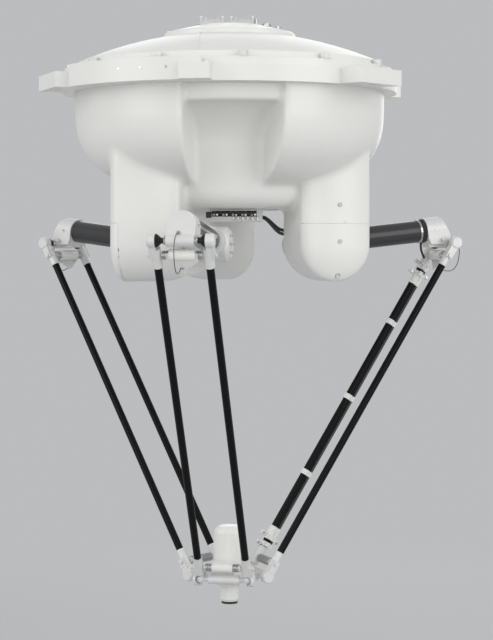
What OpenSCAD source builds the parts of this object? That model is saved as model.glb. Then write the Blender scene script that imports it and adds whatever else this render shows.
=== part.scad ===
// Ceiling-mounted delta robot: three driven arms, six rods and a tool platform.
// Millimetres, +Z up. Origin on the robot axis, in the plane of the mounting ears' top faces.
// Arm frame: +X radial, +Y tangential. The motor lobe of each arm lies on its -Y side.

/* [Body] */
// Outer radius of the bowl under the ring
bowl_r = 338; // [334:1:342]
// Height of the curved bottom of the bowl
bowl_depth = 195; // [180:1:200]
// Wall of the body casting
wall = 6; // [4:0.5:8]
// Radius of the motor lobe
lobe_r = 79; // [77:1:84]
// Distance from the arm plane to the outer face of the lobe
lobe_face = 221; // [218:1:226]
// Length of the removable end cap of the lobe
cap_l = 30; // [26:1:34]

/* [Mounting ring] */
// How far the ring stands out past the bowl
ring_lip = 27; // [20:1:40]
// How far the raised band stands out past the ring
band_lip = 24; // [16:1:32]
// Height of the raised band above the ear plane
band_top = 15; // [8:1:18]
// Thickness of the ring and ears
ring_h = 33; // [28:1:36]
// How far the mounting ears stand out past the ring
ear_reach = 47; // [40:1:60]
// Width of a mounting ear
ear_w = 140; // [110:1:160]
// Distance from a mounting hole to the ear's outer face
hole_edge = 24; // [20:1:30]
// Radius of a mounting hole
mount_hole_r = 9; // [7:0.5:11]

/* [Arms] */
// Distance from the robot axis to the shoulder axis
shoulder_r = 170; // [165:1:175]
// Height of the shoulder axis
shoulder_z = -362; // [-366:1:-360]
// Distance from the robot axis to the elbow pivot
elbow_r = 520; // [500:1:540]
// Height of the elbow pivot above the shoulder axis
elbow_lift = 5; // [0:1:8]
// Height of the tube's centre line above the elbow pivot
tube_lift = 33; // [30:0.5:40]
// Radius of the arm tube
tube_r = 25; // [22:0.5:26]

/* [Rods] */
// Length of a rod between its two ball centres
rod_l = 858; // [830:1:900]
// Distance between the two rods of a pair
rod_gap = 104; // [100:1:108]
// Radius of the rod tube
rod_r = 8; // [7:0.25:8.5]
// Radius of the joint balls
ball_r = 9; // [8:0.25:9.5]
// Clearance between a ball and its socket
ball_clear = 0.15; // [0.1:0.05:0.3]

/* [Platform] */
// Distance from the robot axis to the platform pivots
platform_r = 67; // [64:1:72]
// Radius of the tool flange
flange_r = 20; // [18.5:0.5:22]
// Height of the tool motor cover
cover_h = 96; // [85:1:105]

/* [Hidden] */
$fn = 48;
ARMS = [1, 2, 3];
SIDES = ["a", "b"];
fit = 0.05;
bowl_top = -ring_h;
bowl_knee = bowl_top - 27;
bowl_power = 2.8;
ring_r = bowl_r + ring_lip;
ring_in = bowl_r - 16;
band_r = ring_r + band_lip;
ear_r = ring_r + ear_reach;
mount_hole_circle = ear_r - hole_edge;
ear_proud = 1;
band_arm = 1;

elbow_z = shoulder_z + elbow_lift;
tube_rise = atan((elbow_lift + tube_lift) / (elbow_r - shoulder_r));
half_gap = rod_gap / 2;
rod_tilt = asin((elbow_r - platform_r) / rod_l);
platform_z = elbow_z - rod_l * cos(rod_tilt);

// Lobe: straight barrel between two rounded ends
lobe_in = 62;
lobe_in_r = lobe_r - 19;
lobe_full = 118;
lobe_dome = cap_l - 1.5;
cap_split = lobe_face - cap_l;
cap_top = shoulder_z + 44;
seam = 0.3;

// Recess beside each arm
recess_side = -37;
core_top_r = bowl_r - 17;
core_waist_r = 215;
flare_top = -68;
flare_h = 95;
core_bottom = -285;
core_round = 42;

// Dome cover
dome_edge_r = ring_r - 9;
ear_seat = dome_edge_r + 11;
dome_brim = 17;
dome_skirt_r = ring_r - 31;
dome_sphere_r = 830;
dome_t = 4;
dome_sphere_z = 31 - sqrt(dome_sphere_r * dome_sphere_r - dome_skirt_r * dome_skirt_r);
bolt_circle = ring_r - 19;
washer_r = 6.5;
crown_r = 144;
crown_z = dome_sphere_z + sqrt(dome_sphere_r * dome_sphere_r - crown_r * crown_r);
crown_rim = crown_z + 11.4;
crown_top = crown_z + 28.4;
crown_flat_r = 70;

// Arm parts
hub_r = 37;
hub_end = 27;
spigot_r = 30;
sleeve_r = tube_r + 5;
sleeve_l = 78;
tube_start = 40;
tube_end = (elbow_r - shoulder_r) / cos(tube_rise) - 27;
bracket_r = tube_r + 3.5;
bracket_l = 28;
shaft_r = 6;
boss_r = 12;
boss_w = 56;

// Rod ends
head_r = ball_r + 5;
head_out = ball_r + 6;
head_in = 2;
stem_r = rod_r + 2;
stem_l = 60;
stem_solid = 44;
relief_r = head_r + 3;
tie_z = 33;
tie_pin_r = 3;
groove_r = ball_r + 0.5;

// Cable along rod 2b
cable_off = rod_r + 4;
clip_spots = [207, 405, 602];
clamp_spots = [66, 83, rod_l - 83, rod_l - 66];

// Terminal board under the core, and its two cables
board_x = 14;
board_z = -312;
cable_hole_r = 4;

// Fittings on the crown lid: x, y, shank radius, hexagon radius, seat height, hexagon height
FITTINGS = [[81, 6, 5, 10, crown_top - 0.5, 5], [106, -14, 3, 6, crown_top - 7.5, 4]];

function arm_angle(i) = -90 + 120 * (i - 1);
function side_sign(s) = s == "a" ? -1 : 1;

// Outline of the bowl: a superellipse below a straight wall
function bowl_points(r, bottom, steps = 14) = [
    for (k = [0:steps])
        let (a = 90 * k / steps)
        [r * pow(cos(a), 2 / bowl_power), bowl_knee - bottom * pow(sin(a), 2 / bowl_power)]
];

// Half width of the lobe along its axis, from the arm side to the outer face
function lobe_points(grow) = [
    for (k = [0:5])
        let (a = 90 * k / 5)
        [lobe_in - grow + (lobe_full - lobe_in) * (1 - cos(a)),
         lobe_in_r + grow + (lobe_r - lobe_in_r) * sin(a)],
    for (k = [0:8])
        let (a = 90 * k / 8)
        [cap_split + 1.5 + (lobe_dome + grow) * sin(a), (lobe_r + grow) * cos(a)]
];

function core_points(grow) = [
    [core_top_r + grow, bowl_top + grow], [core_top_r + grow, flare_top - grow],
    for (k = [1:6])
        let (a = 90 * k / 6, run = core_top_r - core_waist_r,
             lean = grow / norm([flare_h * sin(a), run * cos(a)]))
        [core_waist_r + run * (1 - sin(a)) + lean * flare_h * sin(a),
         flare_top - flare_h * (1 - cos(a)) - lean * run * cos(a)],
    [core_waist_r - 14 + grow, core_bottom + core_round],
    for (k = [1:5])
        let (a = 90 * k / 5)
        [core_waist_r - 14 - core_round + (core_round + grow) * cos(a),
         core_bottom + core_round - (core_round + grow) * sin(a)]
];

// ---------- placement ----------

module at_arm(i) {
    rotate([0, 0, arm_angle(i)]) children();
}

// Axis along the arm's tangential direction, through the shoulder
module at_shoulder(i) {
    at_arm(i) translate([shoulder_r, 0, shoulder_z]) children();
}

// +Z along the arm tube, from the shoulder axis outwards
module along_tube(i) {
    at_shoulder(i) rotate([0, 90 - tube_rise, 0]) children();
}

// +Z along the rod, from the elbow ball to the platform ball
module at_rod(i, sign) {
    at_arm(i)
        translate([elbow_r, sign * half_gap, elbow_z])
            rotate([0, 180 + rod_tilt, 0])
                children();
}

// Children drawn for the +Y rod and mirrored for the -Y rod
module handed(sign) {
    mirror([0, sign < 0 ? 1 : 0, 0]) children();
}

// Round bar along Y from y0 to y1
module bar_y(r, y0, y1) {
    translate([0, y0, 0]) rotate([-90, 0, 0]) cylinder(r = r, h = y1 - y0);
}

// ---------- body ----------

module bowl_solid(grow) {
    rotate_extrude($fn = 96)
        polygon(concat([[0, bowl_top], [bowl_r + grow, bowl_top]], bowl_points(bowl_r + grow, bowl_depth + grow)));
}

module core_solid(grow) {
    rotate_extrude($fn = 96)
        polygon(concat([[0, bowl_top + grow]], core_points(grow), [[0, core_bottom - grow]]));
}

// Sector of the bowl that stays open beside an arm
module recess(grow) {
    inner = 100;
    reach = 460;
    translate([0, 0, -360])
        linear_extrude(360 + bowl_top)
            polygon([
                [inner, recess_side - grow],
                [reach, recess_side - grow],
                [reach, reach * tan(30) + grow / cos(30)],
                [inner, inner * tan(30) + grow / cos(30)]
            ]);
}

// Upright prism with a half-round bottom and rounded ends
module lobe_solid(i, grow) {
    outline = concat([[lobe_in - grow, 0]], lobe_points(grow));
    at_shoulder(i) {
        rotate([90, 0, 0]) rotate_extrude(angle = 180, start = 180) polygon([for (p = outline) [p[1], p[0]]]);
        linear_extrude(250)
            polygon(concat(
                [for (p = outline) [p[1], -p[0]]],
                [for (k = [len(outline) - 1:-1:0]) [-outline[k][1], -outline[k][0]]]));
    }
}

module cap_zone(i, y_from, z_to) {
    at_arm(i)
        translate([shoulder_r - 120, -lobe_face - 20, shoulder_z - 120])
            cube([240, lobe_face + 20 - y_from, z_to - shoulder_z + 120]);
}

module body_outer() {
    difference() {
        bowl_solid(0);
        for (i = ARMS) at_arm(i) recess(0);
    }
    core_solid(0);
    for (i = ARMS) lobe_solid(i, 0);
}

module body_inner() {
    difference() {
        bowl_solid(-wall);
        for (i = ARMS) at_arm(i) recess(wall);
    }
    core_solid(-wall);
    for (i = ARMS) lobe_solid(i, -wall);
}

module body_shell() {
    color("whitesmoke")
    difference() {
        intersection() {
            body_outer();
            translate([0, 0, -500]) cylinder(r = 460, h = 500 + bowl_top, $fn = 96);
        }
        body_inner();
        for (i = ARMS) {
            cap_zone(i, cap_split, cap_top);
            at_shoulder(i) bar_y(spigot_r + 2, -lobe_in - 20, -lobe_in + 20);
            screw_holes(i);
        }
        for (n = [0, 1])
            translate(cable_end(n) - [20, 0, 0]) rotate([0, 90, 0]) cylinder(r = cable_hole_r, h = 40);
    }
}

module end_cap(i) {
    color("whitesmoke")
    difference() {
        intersection() {
            lobe_solid(i, 0);
            cap_zone(i, cap_split + seam, cap_top - seam);
        }
        intersection() {
            lobe_solid(i, -wall);
            cap_zone(i, 0, cap_top - seam - wall);
        }
        screw_holes(i);
    }
}

// Screws in the outer face of a lobe, outwards and up from the shoulder axis
SCREWS = [[0, 6], [0, -68], [0, 84]];

function screw_face(p) =
    let (r = p[1] < 0 ? -p[1] : 0)
    cap_split + 1.5 + lobe_dome * sqrt(1 - pow(r / lobe_r, 2)) - (r > 0 ? 2 : 0);

// Screw holes with their spot faces
module screw_holes(i) {
    at_shoulder(i)
        for (p = SCREWS)
            translate([p[0], 0, p[1]]) {
                bar_y(2.5, -lobe_face - 5, -screw_face(p) + 9);
                bar_y(6, -lobe_face - 5, -screw_face(p));
            }
}

module cap_screws() {
    color("silver")
    for (i = ARMS)
        at_shoulder(i)
            for (p = SCREWS)
                translate([p[0], 0, p[1]]) {
                    bar_y(2.5, -screw_face(p), -screw_face(p) + 9);
                    bar_y(4.5, -screw_face(p) - 2.5, -screw_face(p));
                }
}

module sector_band(r, z0, z1, a0, a1) {
    translate([0, 0, z0])
        rotate([0, 0, a0])
            rotate_extrude(angle = a1 - a0, $fn = 96)
                translate([ring_in + 20, 0]) square([r - ring_in - 20, z1 - z0]);
}

module mounting_ring() {
    stud_gap = 24;
    color("whitesmoke")
    difference() {
        union() {
            difference() {
                union() {
                    translate([0, 0, -ring_h]) cylinder(r = ring_r, h = ring_h - ear_proud, $fn = 96);
                    translate([0, 0, -ring_h]) cylinder(r = dome_edge_r + 1.5, h = ring_h, $fn = 96);
                }
                translate([0, 0, -ring_h - 1]) cylinder(r = ring_in, h = ring_h + 2, $fn = 96);
            }
            for (i = ARMS) {
                a = arm_angle(i);
                if (i == band_arm)
                    difference() {
                        sector_band(band_r, 1 - ring_h, band_top, a - 64, a + 2);
                        cylinder(r = dome_edge_r + 1.5, h = band_top + 1, $fn = 96);
                    }
                at_arm(i) {
                    translate([dome_edge_r + 2, -32, 2 - ring_h]) cube([band_r + 5 - dome_edge_r, 64, ring_h]);
                    for (y = [-stud_gap, stud_gap])
                        translate([band_r - 4, y, 2]) cylinder(r = 4, h = 3);
                }
                rotate([0, 0, a - 60])
                    rotate([90, 0, 0])
                        linear_extrude(ear_w, center = true)
                            polygon([
                                [ring_r - 20, 0.5 - ring_h], [ear_r, 0.5 - ring_h], [ear_r, 0],
                                [ear_seat, 0], [ear_seat, -ear_proud], [ring_r - 20, -ear_proud]
                            ]);
            }
        }
        for (i = ARMS)
            rotate([0, 0, arm_angle(i) - 60])
                translate([mount_hole_circle, 0, -ring_h - 1]) cylinder(r = mount_hole_r, h = ring_h + band_top + 2);
        for (i = ARMS)
            rotate([0, 0, arm_angle(i) - 60])
                translate([dome_edge_r + 10, -ear_w / 2 - 2, 0]) cube([80, ear_w + 4, band_top + 1]);
    }
}

module dome_profile(t) {
    // One side of the dome, drawn t below its outer surface
    polygon([
        [crown_r - 10, crown_z - t],
        for (k = [0:8])
            let (r = crown_r + (dome_skirt_r - crown_r) * k / 8)
            [r, dome_sphere_z + sqrt(dome_sphere_r * dome_sphere_r - r * r) - t],
        [dome_skirt_r + 3, dome_brim - t + 3],
        [dome_skirt_r + 5, dome_brim - t],
        [dome_edge_r, dome_brim - t],
        [dome_edge_r, 0],
        [crown_r - 10, 0]
    ]);
}

module dome_cover() {
    color("whitesmoke")
    difference() {
        rotate_extrude($fn = 96)
            difference() {
                dome_profile(0);
                intersection() {
                    dome_profile(dome_t);
                    square([dome_skirt_r - 4, 200]);
                }
                square([dome_skirt_r - 4, dome_brim - dome_t]);
            }
        for (k = [0:11])
            rotate([0, 0, 15 + 30 * k])
                translate([bolt_circle, 0, -1]) cylinder(r = 3, h = dome_brim + 2, $fn = 24);
    }
}

module dome_bolts() {
    color("silver")
    for (k = [0:11])
        rotate([0, 0, 15 + 30 * k])
            translate([bolt_circle, 0, 0]) {
                cylinder(r = 3, h = dome_brim, $fn = 24);
                translate([0, 0, dome_brim]) cylinder(r = washer_r, h = 2, $fn = 24);
                translate([0, 0, dome_brim + 2]) cylinder(r = 5.8, h = 7, $fn = 6);
                translate([0, 0, dome_brim + 9]) cylinder(r = 3, h = 3.5, $fn = 24);
            }
}

module crown_lid() {
    color("whitesmoke")
    difference() {
        rotate_extrude($fn = 96)
        polygon([
            [0, crown_top - dome_t], [crown_flat_r, crown_top - dome_t],
            [crown_r - dome_t, crown_rim - dome_t], [crown_r - dome_t, crown_z],
            [crown_r, crown_z], [crown_r, crown_rim - 4], [crown_r - 4, crown_rim],
            [crown_flat_r, crown_top], [0, crown_top]
        ]);
        for (f = FITTINGS) rotate([0, 0, 10]) translate([f[0], f[1], crown_z]) cylinder(r = f[2], h = 50);
    }
}

module connector_plate() {
    color("gainsboro")
    rotate([0, 0, 10])
        translate([-70, -34, crown_top])
            cube([132, 68, 2]);
}

module plug_hood(x0, x1) {
    rotate([0, 0, 10])
        translate([x0, -24, crown_top + 2]) {
            cube([x1 - x0, 48, 7]);
            translate([3, 5, 7]) cube([x1 - x0 - 6, 38, 5]);
        }
}

module power_connector() {
    color("lightgray") plug_hood(-60, -18);
}

module signal_connector() {
    color("lightgray") plug_hood(6, 48);
}

module lock_levers() {
    color("silver")
    rotate([0, 0, 10])
        for (x = [-64, -17, 2, 49])
            translate([x, -6, crown_top + 2]) {
                cube([3, 12, 17]);
                translate([-1.5, 0, 17]) cube([6, 12, 3]);
            }
}

module air_fittings() {
    color("silver")
    rotate([0, 0, 10]) {
        for (f = FITTINGS)
            translate([f[0], f[1], f[4]]) {
                translate([0, 0, -8]) cylinder(r = f[2], h = 8);
                cylinder(r = f[3], h = f[5], $fn = 6);
                translate([0, 0, f[5]]) cylinder(r = f[3] - 3, h = 2.5);
            }
        translate([58, 4, crown_top + 2]) cylinder(r = 4, h = 14);
    }
}

module board_bracket() {
    color("lightgray")
    rotate([0, 0, 10])
        translate([board_x - 58, -42, board_z]) {
            cube([116, 84, 3]);
            cube([116, 3, 11]);
            translate([103, 0, 0]) cube([13, 3, core_bottom - board_z]);
            for (x = [0, 113])
                translate([x, 30, 0]) cube([3, 20, core_bottom - board_z]);
            translate([103, 0, core_bottom - board_z - 3]) cube([46, 12, 3]);
        }
}

module terminal_board() {
    color("darkslategray")
    rotate([0, 0, 10])
        translate([board_x - 52, -36, board_z + 3]) {
            cube([104, 64, 3]);
            translate([0, 13, 3]) cube([104, 2, 18]);
            for (k = [0:5]) {
                translate([4 + 17 * k, 1, 3]) cube([13, 9, 11 + 5 * (k % 2)]);
                translate([6 + 17 * k, 26, 3]) cube([9, 14, 5]);
            }
        }
}

function cable_end(n) = [131, -11 - 7 * n, board_z - 19 - 8 * n];

// Stations of a cable from the terminal board into a motor lobe
function cable_route(n) =
    let (
        root = [board_x + 52, -17 - 8 * n, board_z + 11 - 1.5 * n],
        start = [root[0] * cos(10) - root[1] * sin(10), root[0] * sin(10) + root[1] * cos(10), root[2]],
        stop = cable_end(n)
    )
    concat(
        [start, start + [cos(10), sin(10), 0] * 4],
        [for (k = [1:5])
            let (u = k / 6, w = u * u * (3 - 2 * u))
            [start[0] + 4 + (stop[0] - start[0] - 14) * u,
             start[1] + (stop[1] - start[1]) * w,
             start[2] + (stop[2] - start[2]) * w]],
        [stop - [10, 0, 0], stop]);

module cable_tube(route, r) {
    sides = 8;
    last = len(route) - 1;
    points = [
        for (k = [0:last])
            let (
                ahead = route[min(k + 1, last)] - route[max(k - 1, 0)],
                t = ahead / norm(ahead),
                u = cross([0, 1, 0], t) / norm(cross([0, 1, 0], t)),
                v = cross(t, u)
            )
            for (m = [0:sides - 1]) route[k] + r * (cos(360 * m / sides) * u + sin(360 * m / sides) * v)
    ];
    walls = [
        for (k = [0:last - 1]) for (m = [0:sides - 1])
            let (n = (m + 1) % sides)
            [k * sides + m, k * sides + n, (k + 1) * sides + n, (k + 1) * sides + m]
    ];
    polyhedron(points, concat(
        walls,
        [[for (m = [sides - 1:-1:0]) m]],
        [[for (m = [0:sides - 1]) last * sides + m]]));
}

module lobe_cable(n) {
    color("dimgray") cable_tube(cable_route(n), 3.5);
}

// ---------- drive, inside the lobe ----------

module gearbox(i) {
    color("darkgray")
    at_shoulder(i)
        difference() {
            union() {
                bar_y(54, -lobe_in - 50, -lobe_in - 8);
                bar_y(44, -lobe_in - 8, -lobe_in - wall);
            }
            bar_y(spigot_r + fit, -lobe_in - 32, -lobe_in);
        }
}

module servo_motor(i) {
    color("dimgray")
    at_shoulder(i) {
        translate([-48, -lobe_in - 118, -48]) cube([96, 68, 96]);
        bar_y(30, -lobe_in - 140, -lobe_in - 118);
    }
}

// ---------- arm ----------

module arm_hub(i) {
    color("silver") {
        difference() {
            union() {
                at_shoulder(i) {
                    bar_y(spigot_r, -lobe_in - 30, -lobe_in + 6);
                    bar_y(hub_r, -lobe_in + 5, hub_end);
                    rotate([-90, 0, 0])
                        translate([0, 0, hub_end])
                            cylinder(r1 = hub_r, r2 = hub_r - 9, h = 8);
                }
                along_tube(i) cylinder(r = sleeve_r, h = sleeve_l);
            }
            along_tube(i) translate([0, 0, tube_start]) cylinder(r = tube_r, h = sleeve_l);
            at_shoulder(i) bar_y(6, hub_end - 6, hub_end + 9);
        }
    }
}

module arm_tube(i) {
    color([0.1, 0.1, 0.1])
    along_tube(i)
        translate([0, 0, tube_start])
            difference() {
                cylinder(r = tube_r, h = tube_end - tube_start);
                translate([0, 0, -1]) cylinder(r = tube_r - 2.5, h = tube_end);
            }
}

module elbow_bracket(i) {
    // Outlines seen from the side: outwards and up from the elbow pivot
    face = [[-96, 100], [-26, 100], [-21, 61], [-15, 55], [-10, 41], [0, 22],
            [3, 8], [3, -3], [-46, -3], [-54, 12], [-96, 12]];
    web = [[-50, 12], [-46, -10], [0, -10], [0, 12]];
    color("silver")
    difference() {
        union() {
            intersection() {
                along_tube(i)
                    translate([0, 0, tube_end - bracket_l]) {
                        cylinder(r = bracket_r, h = bracket_l + 60);
                        translate([0, -bracket_r, 0]) cube([60, 2 * bracket_r, bracket_l + 60]);
                    }
                at_arm(i)
                    translate([elbow_r, 0, elbow_z])
                        rotate([90, 0, 0]) linear_extrude(80, center = true) polygon(face);
            }
            at_arm(i)
                translate([elbow_r, 0, elbow_z]) {
                    rotate([90, 0, 0]) linear_extrude(34, center = true) polygon(web);
                    bar_y(boss_r, -boss_w / 2, boss_w / 2);
                    translate([-20, 0, 8]) bar_y(3.5, -37, 37);
                }
        }
        along_tube(i) translate([0, 0, tube_end - bracket_l - 60]) cylinder(r = tube_r, h = bracket_l + 60);
        at_arm(i) translate([elbow_r, 0, elbow_z]) bar_y(shaft_r, -boss_w, boss_w);
    }
}

// Cross shaft with a ball at each end
module ball_shaft() {
    bar_y(shaft_r, -half_gap + 12, half_gap - 12);
    for (s = [-1, 1])
        handed(s) {
            bar_y(ball_r / 2, half_gap - 12, half_gap);
            translate([0, half_gap, 0]) sphere(r = ball_r);
        }
}

module elbow_shaft(i) {
    color("silver")
    at_arm(i) translate([elbow_r, 0, elbow_z]) ball_shaft();
}

// ---------- rods ----------

// Socket with its stem towards +Z and its closed side towards +Y
module rod_end(open_side) {
    difference() {
        union() {
            bar_y(head_r, -head_in, head_out - 3);
            translate([0, head_out - 3, 0])
                rotate([-90, 0, 0]) cylinder(r1 = head_r, r2 = head_r - 3, h = 3);
            translate([0, 0, 6]) cylinder(r = stem_r, h = stem_l - 6);
            translate([-stem_r + 2, 0, 0]) cube([2 * stem_r - 4, 13, tie_z + 6]);
        }
        rotate([90, 0, 30]) sphere(r = ball_r + ball_clear);
        translate([-relief_r, -40, -relief_r]) cube([2 * relief_r, 40 - head_in, 2 * relief_r]);
        translate([0, 0, stem_solid]) cylinder(r = rod_r, h = stem_l);
        translate([0, 0, tie_z]) bar_y(tie_pin_r, -20, 20);
        if (open_side)
            rotate([0, rod_tilt - 90, 0]) cylinder(r = groove_r, h = 22);
    }
}

module rod_ends(i, sign) {
    color("silver")
    at_rod(i, sign) {
        handed(sign) rod_end(false);
        translate([0, 0, rod_l]) mirror([0, 0, 1]) handed(sign) rod_end(true);
    }
}

module rod(i, sign) {
    color([0.1, 0.1, 0.1])
    at_rod(i, sign)
        translate([0, 0, stem_solid])
            difference() {
                cylinder(r = rod_r, h = rod_l - 2 * stem_solid);
                translate([0, 0, -1]) cylinder(r = rod_r - 1.5, h = rod_l);
            }
}

// Spring barrel across the pair, with a pin through both rod ends
module tie_bar() {
    bar_y(tie_pin_r, -half_gap - 15, half_gap + 15);
    bar_y(7.5, -half_gap + 12, half_gap - 12);
    for (s = [-1, 1])
        handed(s) bar_y(5, half_gap + 13.2, half_gap + 17);
}

module spring_tie(i) {
    color("gray")
    at_rod(i, 0) {
        translate([0, 0, tie_z]) tie_bar();
        translate([0, 0, rod_l - tie_z]) tie_bar();
        translate([-6, 0, 0])
            rotate([0, -90, 0])
                linear_extrude(3)
                    polygon([[tie_z - 8, -32], [tie_z - 8, 32], [tie_z + 10, 32],
                             [tie_z + 34, 0], [tie_z + 10, -32]]);
    }
}

module rod_cable() {
    color([0.15, 0.15, 0.15])
    at_rod(2, 1)
        translate([-cable_off, 0, clamp_spots[0] - 5])
            cylinder(r = 3.5, h = clamp_spots[3] - clamp_spots[0] + 10);
}

module clip_ring(h, grow) {
    difference() {
        union() {
            cylinder(r = rod_r + grow, h = h);
            translate([-cable_off, 0, 0]) cylinder(r = 3.5 + grow, h = h);
            translate([-cable_off, -3, 0]) cube([cable_off, 6, h]);
        }
        translate([0, 0, -1]) cylinder(r = rod_r, h = h + 2);
        translate([-cable_off, 0, -1]) cylinder(r = 3.5, h = h + 2);
    }
}

module cable_clips() {
    color("white")
    at_rod(2, 1)
        for (z = clip_spots) translate([0, 0, z]) clip_ring(12, 1.8);
}

module cable_clamps() {
    color("white")
    at_rod(2, 1)
        for (z = clamp_spots)
            translate([0, 0, z - 5]) {
                clip_ring(10, 3);
                translate([-4, rod_r + 2, 0]) cube([8, 9, 10]);
                translate([-4, -rod_r - 11, 0]) cube([8, 9, 10]);
            }
    at_rod(2, 1)
        for (z = [clamp_spots[1] + 5, clamp_spots[2] - 27])
            translate([0, 0, z]) clip_ring(22, 1.8);
}

// ---------- platform ----------

module platform_plate() {
    disc_z = platform_z - 16;
    color("silver")
    difference() {
        union() {
            translate([0, 0, disc_z]) cylinder(r = 37, h = 10);
            translate([0, 0, disc_z + 10]) cylinder(r = 35, h = 20);
            translate([-30, -57, disc_z + 18]) cube([48, 40, 12]);
            for (i = ARMS)
                at_arm(i) {
                    translate([10, -16, disc_z + 2]) cube([platform_r - 16, 32, 18]);
                    translate([platform_r, 0, platform_z]) bar_y(boss_r - 2, -34, 34);
                }
        }
        for (i = ARMS)
            at_arm(i) translate([platform_r, 0, platform_z]) bar_y(shaft_r, -40, 40);
        translate([0, 0, disc_z - 1]) cylinder(r = 12, h = 40);
    }
}

module platform_shafts() {
    color("silver")
    for (i = ARMS)
        at_arm(i) translate([platform_r, 0, platform_z]) ball_shaft();
}

module tool_motor() {
    color("dimgray")
    translate([0, 0, platform_z + 14]) cylinder(r = 24, h = cover_h - 22);
}

module motor_cover() {
    base = platform_z + 14;
    top = base + cover_h;
    color("whitesmoke")
    rotate_extrude()
        polygon(concat(
            [[32, base], [36, base]],
            [for (k = [0:6]) [15 + 19.6 * cos(15 * k), top - 18 + 17.4 * sin(15 * k)]],
            [[0, top], [0, top - 4], [14, top - 4], [30, top - 20]]));
}

module platform_box() {
    base = platform_z + 14;
    color("whitesmoke")
    translate([-30, -57, base]) {
        cube([48, 20, 19]);
        translate([2, 2, 19]) cube([44, 16, 1.5]);
    }
}

module tool_flange() {
    top = platform_z - 16;
    color("whitesmoke")
    difference() {
        union() {
            translate([0, 0, top - 0.3 - 36]) cylinder(r = flange_r, h = 36);
            translate([0, 0, top - 0.3 - 40])
                cylinder(r1 = flange_r - 4, r2 = flange_r, h = 4);
            translate([0, 0, top - 1]) cylinder(r = 12 - fit, h = 29);
            translate([0, 0, top - 46]) cylinder(r = flange_r - 3, h = 7);
        }
        for (k = [0:3])
            rotate([0, 0, 45 + 90 * k])
                translate([12.5, 0, top - 47]) cylinder(r = 2.1, h = 12);
        translate([0, 0, top - 47]) cylinder(r = 5, h = 80);
    }
}

// ---------- nodes ----------

body_shell();
mounting_ring();
dome_cover();
crown_lid();
dome_bolts();
connector_plate();
power_connector();
signal_connector();
lock_levers();
air_fittings();
board_bracket();
terminal_board();
lobe_cable(0);  // lobe_cable_1
lobe_cable(1);  // lobe_cable_2
cap_screws();
for (i = ARMS) {
    gearbox(i);
    servo_motor(i);
    end_cap(i);
    arm_hub(i);
    arm_tube(i);
    elbow_bracket(i);
    elbow_shaft(i);
    spring_tie(i);
    for (s = SIDES) {
        rod(i, side_sign(s));
        rod_ends(i, side_sign(s));
    }
}
rod_cable();
cable_clips();
cable_clamps();
platform_plate();
platform_shafts();
platform_box();
tool_motor();
motor_cover();
tool_flange();
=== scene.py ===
# Ceiling-mounted delta robot, finished piece by piece on the frame of its rigid parts.
# Metres, +Z up along the robot's axis, arm 1 towards -Y.
import math

import bmesh
import bpy
from mathutils import Matrix, Vector
from mathutils.bvhtree import BVHTree
from mathutils.kdtree import KDTree


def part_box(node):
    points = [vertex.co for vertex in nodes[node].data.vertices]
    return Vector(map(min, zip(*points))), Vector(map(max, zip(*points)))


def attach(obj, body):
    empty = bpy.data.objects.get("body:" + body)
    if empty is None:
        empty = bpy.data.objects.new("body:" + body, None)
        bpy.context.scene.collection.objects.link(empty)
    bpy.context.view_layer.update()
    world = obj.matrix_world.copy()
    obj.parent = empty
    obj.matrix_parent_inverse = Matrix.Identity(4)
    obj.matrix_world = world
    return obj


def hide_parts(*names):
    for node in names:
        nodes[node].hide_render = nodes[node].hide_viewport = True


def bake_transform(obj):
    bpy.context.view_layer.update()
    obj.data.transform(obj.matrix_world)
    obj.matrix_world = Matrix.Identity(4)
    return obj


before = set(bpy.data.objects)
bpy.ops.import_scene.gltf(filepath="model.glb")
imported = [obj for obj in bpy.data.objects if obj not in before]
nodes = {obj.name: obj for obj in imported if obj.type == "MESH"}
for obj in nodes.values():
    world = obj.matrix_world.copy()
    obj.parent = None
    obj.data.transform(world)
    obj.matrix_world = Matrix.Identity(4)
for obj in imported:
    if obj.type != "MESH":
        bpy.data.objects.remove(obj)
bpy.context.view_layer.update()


# ---------- Camera ----------
# A long lens, about level with the shoulders, a little over ten degrees to the right of
# arm 1. The shifts bring the robot to the middle of the frame.
view_turn = math.radians(10.5)
view_distance = 4.386
view_height = -0.386
camera_data = bpy.data.cameras.new("view_camera")
camera_data.lens = 112.5
camera_data.sensor_width = 36.0
camera_data.shift_x = 0.0264
camera_data.shift_y = -0.1006
camera_data.clip_end = 60.0
camera = bpy.data.objects.new("view_camera", camera_data)
camera.location = (view_distance * math.sin(view_turn), -view_distance * math.cos(view_turn), view_height)
camera.rotation_euler = (math.radians(90), 0.0, view_turn)
bpy.context.scene.collection.objects.link(camera)
bpy.context.scene.camera = camera


# ---------- Body casting ----------
# The bowl, its core and the three motor lobes are one thin aluminium casting, painted satin
# white. Its corners and the lines where the lobes grow out of the bowl are softly rounded.


class Socket:
    """A shader socket or a number that takes part in Python sums."""

    def __init__(self, graph, value):
        self.graph, self.value = graph, value

    def sum(self, operation, *others, clamp=False):
        values = [self.value] + [o.value if isinstance(o, Socket) else o for o in others]
        node = self.graph.node("ShaderNodeMath", {"operation": operation, "use_clamp": clamp},
                               {k: v for k, v in enumerate(values)})
        return Socket(self.graph, node.outputs[0])

    def __add__(self, other): return self.sum("ADD", other)
    def __radd__(self, other): return self.sum("ADD", other)
    def __sub__(self, other): return self.sum("SUBTRACT", other)
    def __rsub__(self, other): return (self * -1.0).sum("ADD", other)
    def __mul__(self, other): return self.sum("MULTIPLY", other)
    def __rmul__(self, other): return self.sum("MULTIPLY", other)
    def __truediv__(self, other): return self.sum("DIVIDE", other)
    def clamped(self): return self.sum("ADD", 0.0, clamp=True)
    def part(self): return self.sum("FRACT")


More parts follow.
